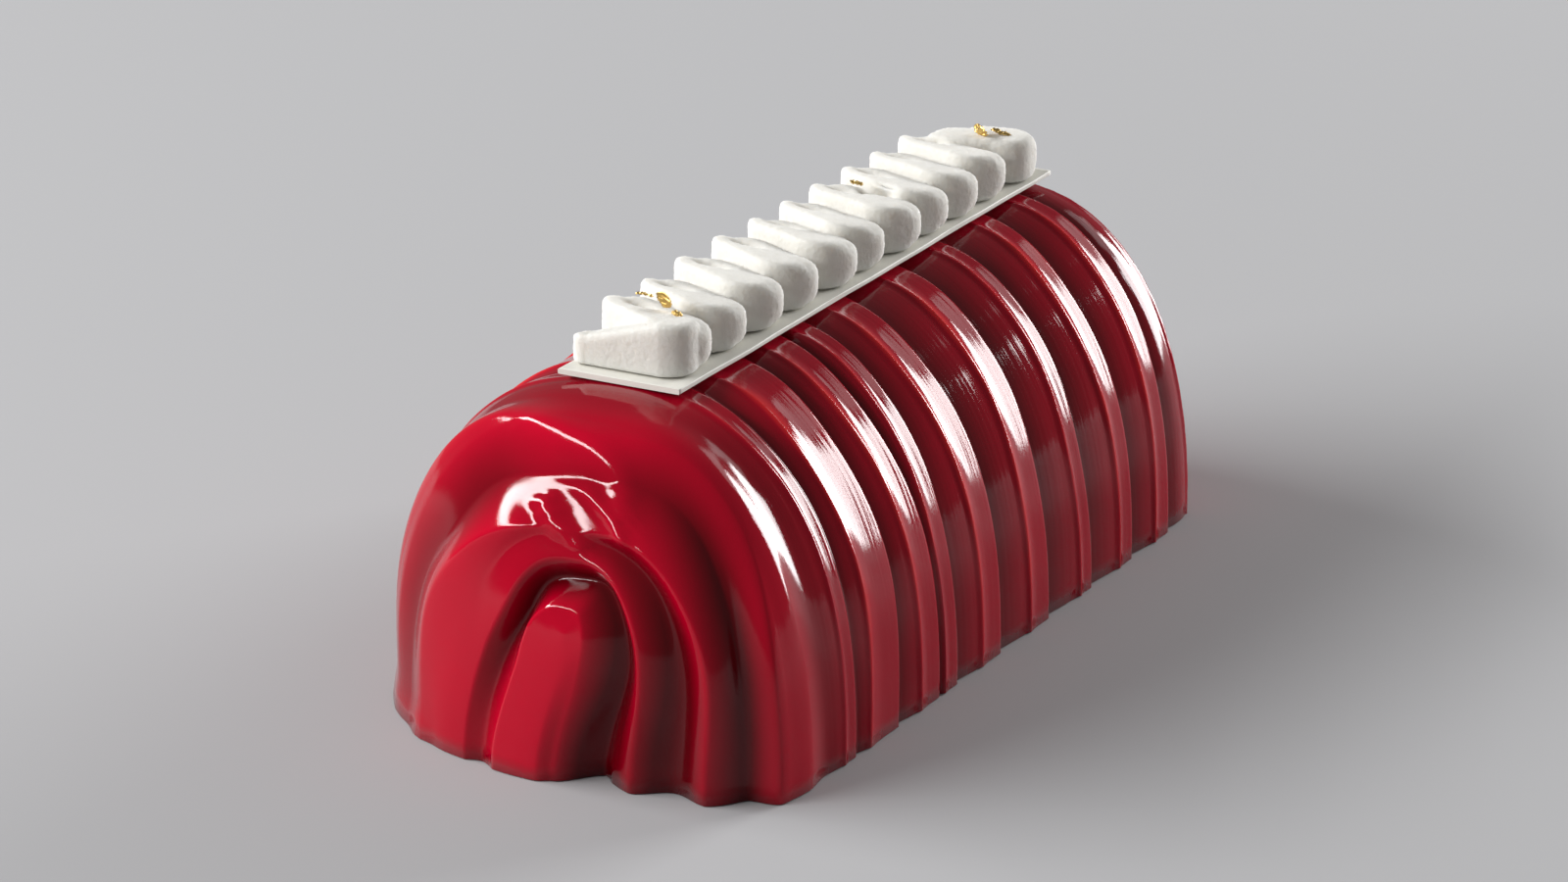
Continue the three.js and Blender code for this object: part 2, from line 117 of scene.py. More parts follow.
BACK_FOLDS = (
    ((0, 0, 0, 0, 0), (1, 1, 1, 1, 1), (0, 0, 0)),
    ((8, 8, 8, 8.5, 8), (0.8, 1.2, 0.6, 0.8, 0.4), (1, 0.8, 1)),
    ((12, 12.5, 12, 12.5, 12), (-1.5, -3, -2.4, -3.2, -3), (0.3, 0.3, 0.3)),
    ((16, 15.5, 16, 15.5, 16), (0.4, 0.6, 0.2, 0.8, 0), (1, 0.6, 1)),
    ((21, 21, 20.5, 21, 21), (-1.2, -2, -1.2, -2.4, -2), (0, 0, 0)),
    ((27, 26, 27, 26.5, 27), (0.6, 0.8, 0.6, 0.8, 0.4), (0.6, 0.4, 0.6)),
    ((33, 33, 33.5, 33, 33), (-1, -1.8, -1, -1.8, -1.2), (0, 0, 0)),
)
LEAST_GAP = 0.3 * MM  # between two neighbouring fold lines

# Small creases that run across the front folds, and the flared foot on the left: their height and
# half width in mm, and the points that they pass, each as a station (-1 at the right foot, 0 at the
# top, 1 at the left foot) and a place in mm from the seam.
FRONT_CREASES = (
    (0.7, 2.6, ((0.2, 39.5), (0.1, 38), (-0.02, 34.5), (-0.12, 30), (-0.15, 25.5), (-0.24, 23))),
    (0.8, 1.8, ((0.08, 25), (0.04, 21), (0, 18), (-0.08, 15.5))),
    (0.6, 1.2, ((0, 27.5), (-0.12, 23), (-0.26, 19.5))),
    (1.0, 4.0, ((0.995, 22), (0.995, 30), (0.995, 40), (0.995, 52))),
)
CREASE_STEPS = 90
CREASE_FADE = 20  # of those steps, at each end of a crease

# The pleats along the sides, in mm: where the near lip of each lies, how wide the pleat is and how
# high it stands over the hollows.
SIDE_PLEATS = ((-69, 4, 1.6), (-58.5, 11, 2.0), (-39.6, 7, 2.0), (-29.4, 5, 1.8), (-15.5, 8, 2.1),
               (5.5, 8, 2.1), (26, 5, 2.0), (43.2, 6, 2.2), (59.6, 6, 2.2), (76.6, 5, 1.8))

# The lines of a pleat: where each lies behind the near lip, in widths of the pleat and in mm on from
# there, its height as a share of the pleat's, and how sharp it is.
PLEAT_LINES = (
    (0, -1.3, 0.15, 0.8),
    (0, 0, 0.5, 1.7),
    (0.45, 0, 0.24, 0),
    (1, 0, 0.28, 0.5),
    (1, 1.7, -0.42, 1.0),
)
PLEAT_FADE = (0.7, 0.9, 1, 1, 1, 1, 1, 0.9, 0.7)  # share of the height, from foot to foot
PLEAT_TOP = (1, 1, 1, 1, 0.1, 1, 1, 1, 1)  # and how much of that is left under the plaque
HOLLOW_FLATTENING = 0.5  # share of a crest's flattening that a hollow has there
PLEAT_STRAY = 1.2  # share of the waver that all lines of a pleat have in common
LINE_STRAY = 0.35  # and share that each line has for itself
PLEAT_SEED = 11

# How light the glaze's red is, from 0 in a pool to 1 where the glaze is stretched thin: this share on the
# bare loaf, less on the pleats, which is painted shade over the sides, and more with the height of a fold,
# which counts against a reach in mm. The hollows come out darker partly from the glaze pooling there and
# partly as painted shade, the more so where the reach is short. The reach is given at four of the arches
# across the log, counted from either end.
CREST_SHARE = 0.55
# Painted shade: how much darker the glaze's red is over the pleated sides
SIDE_PAINTED_SHADE = 0.2
POOL_ARCHES = (0, 6, -7, -1)
# Painted shade: the short reach on the sides makes their hollows darker and their crests lighter
POOL_AND_SHADE_REACH = (5, 2, 2, 5)
PLEATED_FADE = 12 * MM  # over which the pleats' streaks, their painted shade and their painted lip highlight end on the nose
LEG_LENGTH = 80 * MM  # about that of an arch from a foot to its top

# The plaque
PLAQUE_INSET = 0.3 * MM  # room for the stray of its long edges
PLAQUE_END_GAP = 0.02 * MM
PLAQUE_ROWS = 181
PLAQUE_SIDES = 48
PLAQUE_TURN = math.radians(-0.2)
RIGHT_WAVES = ((9, 1, 0), (3.7, 0.6, 1))  # of the right edge: mm for a radian, share and start
LEFT_WAVES = ((11, 1, 2), (4.1, 0.5, 0))

# The zigzag of cream, in mm: where its turns lie on the right and on the left, and the strokes
# before and after it, each with its two places, widths and heights and the fall of its top.
RIGHT_TURNS_Y = (-57.5, -44.3, -31.2, -17.5, -2.8, 8.3, 21.6, 33.4, 45.8, 57.8)
LEFT_TURNS_Y = (-52, -39.6, -25.6, -12, 1.6, 13.4, 25.8, 37.6, 50, 61.6)
TAIL_STROKES = (
    ((-8.4, -63), (5, -60.3), (6.6, 12.4), (5.6, 9.9), 0.8),
    ((-3.6, 67.6), (2, 69.4), (11, 11), (8.9, 8.9), 0.6),
    ((2, 71), (4.4, 71.4), (13.4, 13.4), (8.7, 8.7), 0.4),
)
PIPING_SHEAR = 0.012  # how far the zigzag strays right for its way along the log
LEFT_STRAY = 0.2 * MM
RIGHT_STRAY = 0.15 * MM
END_HEIGHTS = (0.95, 1)  # shares of the full height at the left and the right end of a stroke
HEIGHT_STRAY = 0.03
END_WIDTHS = (0.98, 1.02)  # shares of the full width at the same ends
WIDTH_STRAY = 0.02
LEAST_FALL = 0.85
FALL_STRAY = 0.3
CREAM_SEED = 5

# The section of a stroke: powers of its super-ellipses, and heights as shares of its own
PLAN_POWER = 2.6
LOBE_POWER = 3.0
CREST_POWER = 9
CRISP_END = 0.55  # how much the right end of a stroke has of the crest's power
CRISP_SIDE = 1.4  # and how much its near side has
WIDEST_AT = 0.42
FOOT_DEPTH = 0.82  # of the super-ellipse's lower half, where the foot cuts it off
FALL_POWER = 3
STROKE_SIDES = 72
STROKE_LEVELS = 20
STROKE_MERGE_GAP = 0.0001 * MM

# The dents that the nozzle left, in mm, one on each left turn and one in the middle of a stroke
DENT_X = -4.6
DENT_AHEAD = 0.9  # how far a dent lies in front of its turn
DENTS = tuple((DENT_X, y - DENT_AHEAD) for y in LEFT_TURNS_Y) + ((1.2, 27.4),)
DENT_LENGTH = 2.8
DENT_WIDTH = 1.5
DENT_DEPTH = 4.2
DENT_BEND = 0.5

# The slow lumps of the cream, and the foot that stays as it was joined
LUMP_COUNT = 6
LUMP_SIZE = 3.2 * MM
LUMP_HEIGHT = 0.2 * MM
GRAIN_LIMIT = 2  # a grain is at most this many times the usual one
FOOT_FADE = 0.8 * MM
PHASES = 6  # a wave starts anywhere from 0 to this many radians

# The leaves of gold: middle in mm, size in mm, turn about the vertical and tilt in degrees
GOLD_LEAVES = (
    ((1.2, -55.3, 76.2), (3.0, 4.6), 65, 78),
    ((-4.6, -52, 75.4), (3.2, 1.4), 30, 10),
    ((5.6, -58.4, 75.2), (2.2, 1.8), -20, 15),
    ((-2.2, 25.4, 75.3), (2.6, 1.4), 10, 8),
    ((3.4, 66.4, 75.4), (2.4, 4.6), 60, 75),
    ((6.4, 69.4, 74.6), (4.2, 1.8), 8, 12),
)
LEAF_STEPS = 22
LEAF_WAVES = 7
WAVE_STRAY = 3.2  # how fine the waves across half a leaf usually are, in radians
WAVE_MIDDLE = 0.6  # about the middle of a folded sine
WAVES_TOGETHER = 3  # what all the waves together usually reach
GOLD_SEED = 3

# The patterns of the finishes. A scale is how often a pattern changes in a metre.
CLOUD_SCALE = 45.0
CLOUD_SHARE = 0.25
LIP_GAIN = 5.0  # with the offset, the lip's lighter red, a painted highlight partly from thinner glaze, starts at 0.78 of the glaze's level and is full at 0.98
LIP_OFFSET = -3.9
STREAK_SCALE = (700, 22, 1)
STREAK_HEIGHT = 0.12 * MM
STREAK_STRENGTH = 0.5
BUBBLE_SCALE = 5200.0
BUBBLE_HEIGHT = 0.012 * MM
MOTTLE_SCALE = 130.0
MOTTLE_SHADE = (0.93, 0.93, 0.93)
SHEET_GRAIN_SCALE = 900.0
SHEET_GRAIN_HEIGHT = 0.05 * MM
SPRAY_TINT_SCALE = 600.0
SPRAY_SHADE = (0.9, 0.89, 0.87)
SPRAY_SCALE = 2300.0
SPRAY_HEIGHT = 0.14 * MM
GLOW_SHARE = 0.7  # of the light that goes into the cream and comes out beside
GLOW_COLOUR = (1, 0.95, 0.9)
GLOW_DEPTH = 4 * MM
LEAF_TINT_SCALE = 1500.0
LEAF_SHADE = (0.55, 0.45, 0.3)
WRINKLE_SCALE = 2600.0
WRINKLE_HEIGHT = 0.2 * MM

# The stage: where each soft light is, what it faces, and its width and height
FRONT_SOFTBOX = ((-1.47, -1.13, 1.13), (0.18, -0.43, 0.03), (2.82, 0.30))
BACK_SOFTBOX = ((0.785, 1.785, 0.465), (0.02, 0.0, 0.03), (0.92, 0.92))
BACK_PANEL = ((0.34, 1.32, 0.85), (0, 0, 0.03), (0.6, 0.3))
FLOOR_REACH = 4.0
FLOOR_GAP = 0.2 * MM

# The photo's camera
CAMERA_PLACE = (0.5628, -1.0571, 0.4593)
CAMERA_TARGET = (0.00667, -0.02037, 0.03945)
CAMERA_LENS = 155.4
CAMERA_SENSOR = 36.0

Fold = namedtuple("Fold", "places heights edges")


def length(name, description, default):
    """A length property in metres."""
    return FloatProperty(name=name, description=description, default=default, unit="LENGTH", precision=5)


def share(name, description, default):
    """A property between 0 and 1."""
    return FloatProperty(name=name, description=description, default=default, min=0, max=1, subtype="FACTOR")


def colour(name, description, default):
    """A colour property, in linear light."""
    return FloatVectorProperty(
        name=name, description=description, default=default, size=3, min=0, max=1, subtype="COLOR"
    )


def watts(name, description, default):
    """A light's power in watts."""
    return FloatProperty(name=name, description=description, default=default, min=0, unit="POWER")


class LogSettings(bpy.types.PropertyGroup):
    """The pleated log and its glaze."""

    row_step: length("Row step", "Distance between the arches of the mesh", 0.37 * MM)
    leg_steps: IntProperty(name="Leg steps", description="Steps from a foot to the top", default=56, min=8)
    front_lean: length("Front lean", "How far the tops of the front folds lean right", 5.5 * MM)
    pleat_waver: length("Pleat waver", "How far the line of a pleat strays along the log", 0.45 * MM)
    bright: colour("Crest red", "Glaze where it is stretched thin over a crest", (0.47, 0.0, 0.017))
    # Painted highlight: the lip red is a lighter red on the sharp lips, partly from the thinner glaze there
    thin: colour("Lip red", "Glaze where it is thinnest, on the sharp lips", (0.66, 0.018, 0.022))
    # Painted shade: the hollow red is partly the glaze pooling and partly shade in the hollows and over the
    # pleated sides
    deep: colour("Hollow red", "Glaze where it pools in a hollow", (0.05, 0.0, 0.0008))
    roughness: share("Roughness", "Roughness of the mirror glaze", 0.07)


class PlaqueSettings(bpy.types.PropertyGroup):
    """The white chocolate plaque."""

    edge_waver: length("Edge waver", "How far the cut edges stray from straight", 0.12 * MM)
    edge_round: length("Edge round", "Rounding of the cut edges", 0.22 * MM)
    tint: colour("White chocolate", "Colour of the plaque", (0.80, 0.785, 0.72))


class CreamSettings(bpy.types.PropertyGroup):
    """The zigzag of piped cream."""

    turn_radius: length("Turn radius", "Half the width of a lobe", 6.3 * MM)
    turn_reach: length("Turn reach", "How far the middle of a turn is from the centre line", 5 * MM)
    crown: length("Height", "Height of a full lobe", 10.1 * MM)
    shingle: length("Shingle", "How far a stroke's top falls from its near to its far side", 2.5 * MM)
    voxel: length("Voxel", "Size of the mesh in which the strokes are joined", 0.36 * MM)
    grain: length("Grain", "Height of the sprayed grain", 0.055 * MM)
    tint: colour("Cream", "Colour of the cream", (0.76, 0.745, 0.70))


class GoldSettings(bpy.types.PropertyGroup):
    """The flecks of gold leaf."""

    crumple: length("Crumple", "How far a leaf is crumpled", 0.5 * MM)
    thickness: length("Thickness", "Thickness of the crumpled leaf", 0.06 * MM)
    tint: colour("Gold", "Colour of the leaf", (0.95, 0.68, 0.24))


class StageSettings(bpy.types.PropertyGroup):
    """The floor, the lights and the camera."""

    floor: colour("Floor", "Colour of the floor", (0.43, 0.43, 0.44))
    front_light: watts("Front light", "Softbox at the front left", 77)
    back_light: watts("Back light", "Softbox at the back right", 41)
    panel_light: watts("Panel light", "Dim panel high up behind", 0.9)
    room: FloatProperty(name="Room light", description="Strength of the plain surroundings", default=0.18)


def smooth(s):
    """Three times the square less twice the cube: flat at 0 and at 1."""
    return s * s * (3 - 2 * s)


def ease(s, start_slope, end_slope):
    """A cubic from 0 to 1 with the given slopes at its ends: 0 is flat and 2 is sharp."""
    return (s**3 - 2 * s**2 + s) * start_slope + smooth(s) + (s**3 - s**2) * end_slope


def through(values, at):
    """A smooth curve through evenly spaced values, read at places from 0 to 1: each stretch is the
    cubic whose slope at a value is half the difference of that value's neighbours."""
    values = np.asarray(values, float)
    padded = np.pad(values, 1, mode="edge")
    position = np.clip(at, 0, 1) * (len(values) - 1)
    first = np.minimum(position.astype(int), len(values) - 2)
    s = position - first
    p0, p1, p2, p3 = (padded[first + k] for k in range(4))
    return 0.5 * (2 * p1 + (p2 - p0) * s + (2 * p0 - 5 * p1 + 4 * p2 - p3) * s**2
                  + (3 * (p1 - p2) + p3 - p0) * s**3)


def quarter(width, nose, power):
    """A quarter of a super-ellipse from the nose tip to the side, with the length along it: out by
    the width times sine, back by the nose times one less cosine, both to two over the power."""
    angle = np.linspace(0, np.pi / 2, OUTLINE_STEPS + 1)
    out = width * np.sin(angle) ** (2 / power)
    back = nose * (1 - np.clip(np.cos(angle), 0, 1) ** (2 / power))
    along = np.concatenate([[0], np.cumsum(np.hypot(np.diff(out), np.diff(back)))])
    return out, back, along


SQUARE_OUTLINE = quarter(HALF_WIDTH, NOSE, SQUARE_CORNER)
ROUND_OUTLINE = quarter(HALF_WIDTH, NOSE, ROUND_CORNER)
NOSE_PROFILE = quarter(HEIGHT, NOSE, ARCH_POWER)


def on_outline(outline, end, distance):
    """How far out and at which y a point lies that is so far from the seam along an outline, which
    runs on straight where its curve ends."""
    out, back, along = outline
    past = np.maximum(distance - along[-1], 0)
    return np.interp(distance, along, out), end * (HALF_LENGTH - np.interp(distance, along, back) - past)


def end_arches(arches, end, lean):
    """The arches of one end as rows: the distances of both feet and the top from the seam, which end
    it is, the power, the lean and no drift. From the seam outwards the power goes evenly from the
    tongue's to the loaf's, and the lean fades out smoothly."""
    last = len(arches) - 1
    powers = [TONGUE_POWER + (ARCH_POWER - TONGUE_POWER) * i / last for i in range(last + 1)]
    leans = [lean * (1 - smooth(i / last)) for i in range(last + 1)]
    return [(*(distance * MM for distance in arch), end, powers[i], leans[i], 0)
            for i, arch in enumerate(arches)]


def side_arches(y):
    """The arches across the log as rows of the same kind. Their feet and tops lie where the outlines
    pass their y."""
    past = np.abs(y) - NOSE_START
    right = np.where(y < 0, SQUARE_OUTLINE[2][-1], ROUND_OUTLINE[2][-1]) - past
    left = ROUND_OUTLINE[2][-1] - past
    top = NOSE_PROFILE[2][-1] - past
    drift = TOP_DRIFT * np.clip((HALF_LENGTH - np.abs(y)) / NOSE - DRIFT_FADE, 0, 1)
    rows = np.stack([right, left, top, np.where(y < 0, -1, 1), np.full_like(y, ARCH_POWER), 0 * y, drift], 1)
    return rows.tolist()


def arch_rows(settings):
    """The place of every arch along the centre line, a table of the arches, and marks that say which
    places belong to the front, the back and the sides. An arch has a foot on each side and a top, and
    everything runs straight from one arch to the next."""
    y = np.arange(-SIDE_REACH, SIDE_REACH + SIDE_STEP / 2, SIDE_STEP)
    front = end_arches(FRONT_ARCHES, -1, settings.front_lean)
    back = end_arches(BACK_ARCHES, 1, 0)
    rows = np.array(front + side_arches(y) + back[::-1])
    end = rows[:, 3]
    right_out, right_y = np.where(end < 0, on_outline(SQUARE_OUTLINE, end, rows[:, 0]),
                                  on_outline(ROUND_OUTLINE, end, rows[:, 0]))
    left_out, left_y = on_outline(ROUND_OUTLINE, end, rows[:, 1])
    top_z, top_y = on_outline(NOSE_PROFILE, end, rows[:, 2])
    place = np.concatenate([[0], np.cumsum(np.hypot(np.diff(top_z), np.diff(top_y)))])
    columns = np.stack([right_out, right_y, left_out, left_y, top_z, top_y, *rows[:, 4:].T], 1)
    marks = {"front": place[: len(front)], "back": place[::-1][: len(back)],
             "side": place[len(front):-len(back)], "side_y": y}
    return place, columns, marks


def smooth_loaf(columns, station):
    """Points of the loaf and the directions square to it, without folds. Each leg of an arch is a
    quarter of a super-ellipse seen from the end, whose y goes from the foot's to the top's. It is
    drawn on to the loaf by scaling it to where the loaf's measure is 1: the plan powers join x and
    the depth into the nose, and the arch power joins those with the height."""
    right_out, right_y, left_out, left_y, top_z, top_y, power, lean, drift = columns.T[:, :, None]
    on_right = station < 0
    rise = 1 - np.abs(station)
    angle = rise * np.pi / 2
    sine, cosine = np.sin(angle), np.clip(np.cos(angle), 0, 1)
    x = np.where(on_right, right_out, -left_out) * cosine ** (2 / power)
    z = top_z * sine ** (2 / power)
    foot_y = np.where(on_right, right_y, left_y)
    y = foot_y + (top_y - foot_y) * sine**2
    y = y + drift * smooth(np.clip((rise - DRIFT_START) / (1 - DRIFT_START), 0, 1))
    middle_y = np.clip(y, -NOSE_START, NOSE_START)
    depth = y - middle_y
    plan_power = np.where(on_right & (y < 0), SQUARE_CORNER, ROUND_CORNER)
    out, into = np.abs(x) / HALF_WIDTH, np.abs(depth) / NOSE
    plan = np.maximum(out**plan_power + into**plan_power, TINY)
    measure = plan ** (ARCH_POWER / plan_power) + (z / HEIGHT) ** ARCH_POWER
    scale = measure ** (-1 / ARCH_POWER)
    x, depth, z = x * scale, depth * scale, z * scale
    out, into = out * scale, into * scale
    plan = np.maximum(out**plan_power + into**plan_power, TINY)
    pull = plan ** (ARCH_POWER / plan_power - 1)
    square = np.stack([
        np.sign(x) * pull * out ** (plan_power - 1) / HALF_WIDTH,
        np.sign(depth) * pull * into ** (plan_power - 1) / NOSE,
        (z / HEIGHT) ** (ARCH_POWER - 1) / HEIGHT,
    ], -1)
    square /= np.linalg.norm(square, axis=-1, keepdims=True)
    points = np.stack([x, middle_y + depth, z], -1)
    return points, square, lean


def end_folds(table, seam, towards):
    """The folds of one end, placed from its seam."""
    return [Fold(seam + towards * np.array(places) * MM, np.array(heights) * MM, np.array(edges))
            for places, heights, edges in table]


def side_folds(marks, settings, draw):
    """The lines of all the pleats. A pleat steps up to a sharp near lip and is slightly dipped behind
    it. It drops behind its far ridge, and from there a broad hollow rises evenly to the next pleat.
    The last pleat has no drop, because the far end's folds follow it."""
    fade, top = np.array(PLEAT_FADE), np.array(PLEAT_TOP)
    hollow_top = 1 - (1 - top) * HOLLOW_FLATTENING
    wavers = draw.normal(0, settings.pleat_waver, (len(SIDE_PLEATS) * len(PLEAT_LINES), len(fade)))
    lines = []
    for number, (near, width, height) in enumerate(SIDE_PLEATS):
        for widths, past, rise, edge in PLEAT_LINES:
            place = np.interp((near + widths * width + past) * MM, marks["side_y"], marks["side"])
            places = place + PLEAT_STRAY * wavers[number] + LINE_STRAY * wavers[-1 - len(lines)]
            heights = rise * height * MM * fade * (top if rise > 0 else hollow_top)
            lines.append(Fold(places, heights, np.full(3, edge)))
    return lines[:-1]


def log_folds(marks, settings, draw):
    """Every fold in order from the front seam to the back seam."""
    front = end_folds(FRONT_FOLDS, marks["front"][0], 1)
    back = end_folds(BACK_FOLDS, marks["back"][0], -1)
    return front + side_folds(marks, settings, draw) + back[::-1]


def fold_heights(folds, place, station):
    """How far the folds stand out at every point. Starting from the first fold's height, each pair
    of neighbours adds its difference in height times an eased step between their two lines."""
    at = (station + 1) / 2
    height = through(folds[0].heights, at) + 0 * place
    for near, far in zip(folds, folds[1:]):
        start, stop = through(near.places, at), through(far.places, at)
        s = np.clip((place - start) / np.maximum(stop - start, LEAST_GAP), 0, 1)
        step = ease(s, through(near.edges, at), through(far.edges, at))
        height = height + (through(far.heights, at) - through(near.heights, at)) * step
    return height


def crease_heights(points, rows, stations):
    """How far the creases stand out at every point of the front: for each, its height times a bell
    curve of the distance to its line, which fades out at both ends of the line."""
    front = points[:, :, 1] < -NOSE_START
    near = points[front]
    total = np.zeros(points.shape[:2])
    for height, half_width, line in FRONT_CREASES:
        line = np.array(line)
        steps = np.linspace(0, 1, CREASE_STEPS)
        station, place = through(line[:, 0], steps), through(line[:, 1], steps) * MM
        row = np.interp(place, rows, np.arange(len(rows)))
        column = np.interp(station, stations, np.arange(len(stations)))
        path = points[row.round().astype(int), column.round().astype(int)]
        gaps = np.linalg.norm(near[:, None, :] - path[None, :, :], axis=2)
        closest = gaps.argmin(axis=1)
        fade = smooth(np.clip(np.minimum(closest, CREASE_STEPS - 1 - closest) / CREASE_FADE, 0, 1))
        bell = np.exp(-((gaps.min(axis=1) / (half_width * MM)) ** 2))
        total[front] += height * MM * bell * fade
    return total


def log_surface(settings):
    """The log as a grid of points, whose rows are arches and whose columns are stations, with the
    height of the folds at each point. A point is the loaf's, plus the height along the direction
    square to the loaf. The front's points then move right by the lean, smoothly with their own
    height. The feet are at the floor, and nothing is below it."""
    place, columns, marks = arch_rows(settings)
    count = int(round((place[-1] - place[0]) / settings.row_step))
    rows = np.linspace(place[0], place[-1], count + 1)
    table = np.stack([np.interp(rows, place, column) for column in columns.T], 1)
    station = np.linspace(-1, 1, 2 * settings.leg_steps + 1)[None, :]
    points, square, lean = smooth_loaf(table, station)
    folds = log_folds(marks, settings, np.random.default_rng(PLEAT_SEED))
    heights = fold_heights(folds, rows[:, None], station)
    heights = heights + crease_heights(points, rows, station[0])
    points = points + square * heights[:, :, None]
    z = points[:, :, 2]
    points[:, :, 0] += lean * smooth(np.clip(z / LEAN_HEIGHT, 0, 1))
    z[:, [0, -1]] = 0
    z[:] = np.maximum(z, 0)
    points[:, :, :2] += LOAF_SHIFT
    return points, heights, rows, station, marks


def store_values(mesh, name, values):
    """Keeps one number for every point of a mesh as an attribute."""
    attribute = mesh.attributes.new(name, "FLOAT", "POINT")
    attribute.data.foreach_set("value", values.ravel().astype(np.float32))


def guide_glaze(mesh, points, heights, rows, station, marks):
    """What the glaze reads. pleated is 1 between the noses and fades out on them. The level says how light
    the red is: high where the glaze is stretched thin over a crest, low where it pools in a hollow, with
    painted shade in the hollows and over the pleated sides. The map glaze_flow has metres along the log and
    metres up a leg."""
    past_fade = NOSE_START + PLEATED_FADE - np.abs(points[:, :, 1])
    pleated = smooth(np.clip(past_fade / PLEATED_FADE, 0, 1))
    store_values(mesh, "pleated", pleated)
    reach = np.interp(rows, marks["side"][list(POOL_ARCHES)], POOL_AND_SHADE_REACH)[:, None] * MM
    # Painted shade: the pleated sides are taken down and short reaches there darken their hollows, on top of
    # the glaze's own pooling
    store_values(mesh, "fold_height", np.clip(CREST_SHARE - SIDE_PAINTED_SHADE * pleated + heights / reach, 0, 1))
    along = np.broadcast_to(rows[:, None], heights.shape)
    rise = np.broadcast_to(station * LEG_LENGTH, heights.shape)
    flow = np.stack([along, rise], -1).reshape(-1, 2)
    corners = np.empty(len(mesh.loops), np.int32)
    mesh.loops.foreach_get("vertex_index", corners)
    mesh.uv_layers.new(name="glaze_flow").data.foreach_set("uv", flow[corners].ravel().astype(np.float32))


def grid_faces(rows, columns):
    """Quads between the neighbours of a grid of points that are numbered row by row."""
    corner = np.arange(rows * columns).reshape(rows, columns)
    quads = np.stack([corner[:-1, :-1], corner[1:, :-1], corner[1:, 1:], corner[:-1, 1:]], -1)
    return quads.reshape(-1, 4)


def tube_faces(rows, columns):
    """Quads between rings of points that are numbered ring by ring, and a face at each end."""
    number = np.arange(rows * columns).reshape(rows, columns)
    ring = np.roll(number, -1, axis=1)
    quads = np.stack([number[:-1], ring[:-1], ring[1:], number[1:]], -1).reshape(-1, 4).tolist()
    return quads + [number[0][::-1].tolist(), number[-1].tolist()]


def join_cake(piece, node):
    """Puts a piece into the scene. It rides on the cake's one body and stands for its node."""
    bpy.context.scene.collection.objects.link(piece)
    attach(piece, "root")
    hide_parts(node)


def make_piece(name, points, faces, material, node, flat_faces=0):
    """A piece of the cake from points and faces. It is smooth, apart from its last flat faces."""
    mesh = bpy.data.meshes.new(name)
    mesh.from_pydata(np.asarray(points).reshape(-1, 3).tolist(), [], faces)
    mesh.materials.append(material)
    mesh.polygons.foreach_set("use_smooth", np.arange(len(faces)) < len(faces) - flat_faces)
    piece = bpy.data.objects.new(name, mesh)
    join_cake(piece, node)
    return piece


def merge_doubles(mesh, distance):
    """Joins points that coincide and turns every face outwards."""
    shell = bmesh.new()
    shell.from_mesh(mesh)
    bmesh.ops.remove_doubles(shell, verts=shell.verts, dist=distance)
    bmesh.ops.recalc_face_normals(shell, faces=shell.faces)
    shell.to_mesh(mesh)
    shell.free()


class Shader:
    """A material's nodes. add makes a node and sets or links its sockets."""

    def __init__(self, name):
        self.material = bpy.data.materials.new(name)
        self.material.use_nodes = True
        self.tree = self.material.node_tree
        self.tree.nodes.clear()

    def add(self, kind, sockets=(), **settings):
        node = self.tree.nodes.new("ShaderNode" + kind)
        for key, value in settings.items():
            setattr(node, key, value)
        for key, value in dict(sockets).items():
            if isinstance(value, bpy.types.NodeSocket):
                self.tree.links.new(value, node.inputs[key])
            else:
                node.inputs[key].default_value = value
        return node

    def math(self, operation, first, second, third=0.0):
        return self.add("Math", {0: first, 1: second, 2: third}, operation=operation).outputs[0]

    def clamp(self, value):
        return self.add("Clamp", {"Value": value}).outputs[0]

    def place(self):
        return self.add("TexCoord").outputs["Object"]

    def attribute(self, name):
        return self.add("Attribute", attribute_name=name).outputs["Fac"]

    def noise(self, vector, scale, detail=2.0, roughness=0.5):
        sockets = {"Vector": vector, "Scale": scale, "Detail": detail, "Roughness": roughness}
        return self.add("TexNoise", sockets).outputs["Fac"]

    def stretch(self, vector, scale):
        return self.add("Mapping", {"Vector": vector, "Scale": scale}).outputs[0]

    def between(self, factor, first, second):
        mixed = self.add("Mix", {0: factor}, data_type="RGBA")
        for socket, value in ((mixed.inputs[6], first), (mixed.inputs[7], second)):
            if isinstance(value, bpy.types.NodeSocket):
                self.tree.links.new(value, socket)
            else:
                socket.default_value = (*value, 1)
        return mixed.outputs[2]

    def bump(self, height, distance, strength, normal=None):
        sockets = {"Height": height, "Distance": distance, "Strength": strength}
        if normal is not None:
            sockets["Normal"] = normal
        return self.add("Bump", sockets).outputs[0]

    def finish(self, **sockets):
        surface = self.add("BsdfPrincipled", {key.replace("_", " "): v for key, v in sockets.items()})
        self.add("OutputMaterial", {"Surface": surface.outputs[0]})
        return self.material


def shaded(tint, shares):
    """A colour with each of its three parts taken down to a share."""
    return tuple(part * left for part, left in zip(tint, shares))


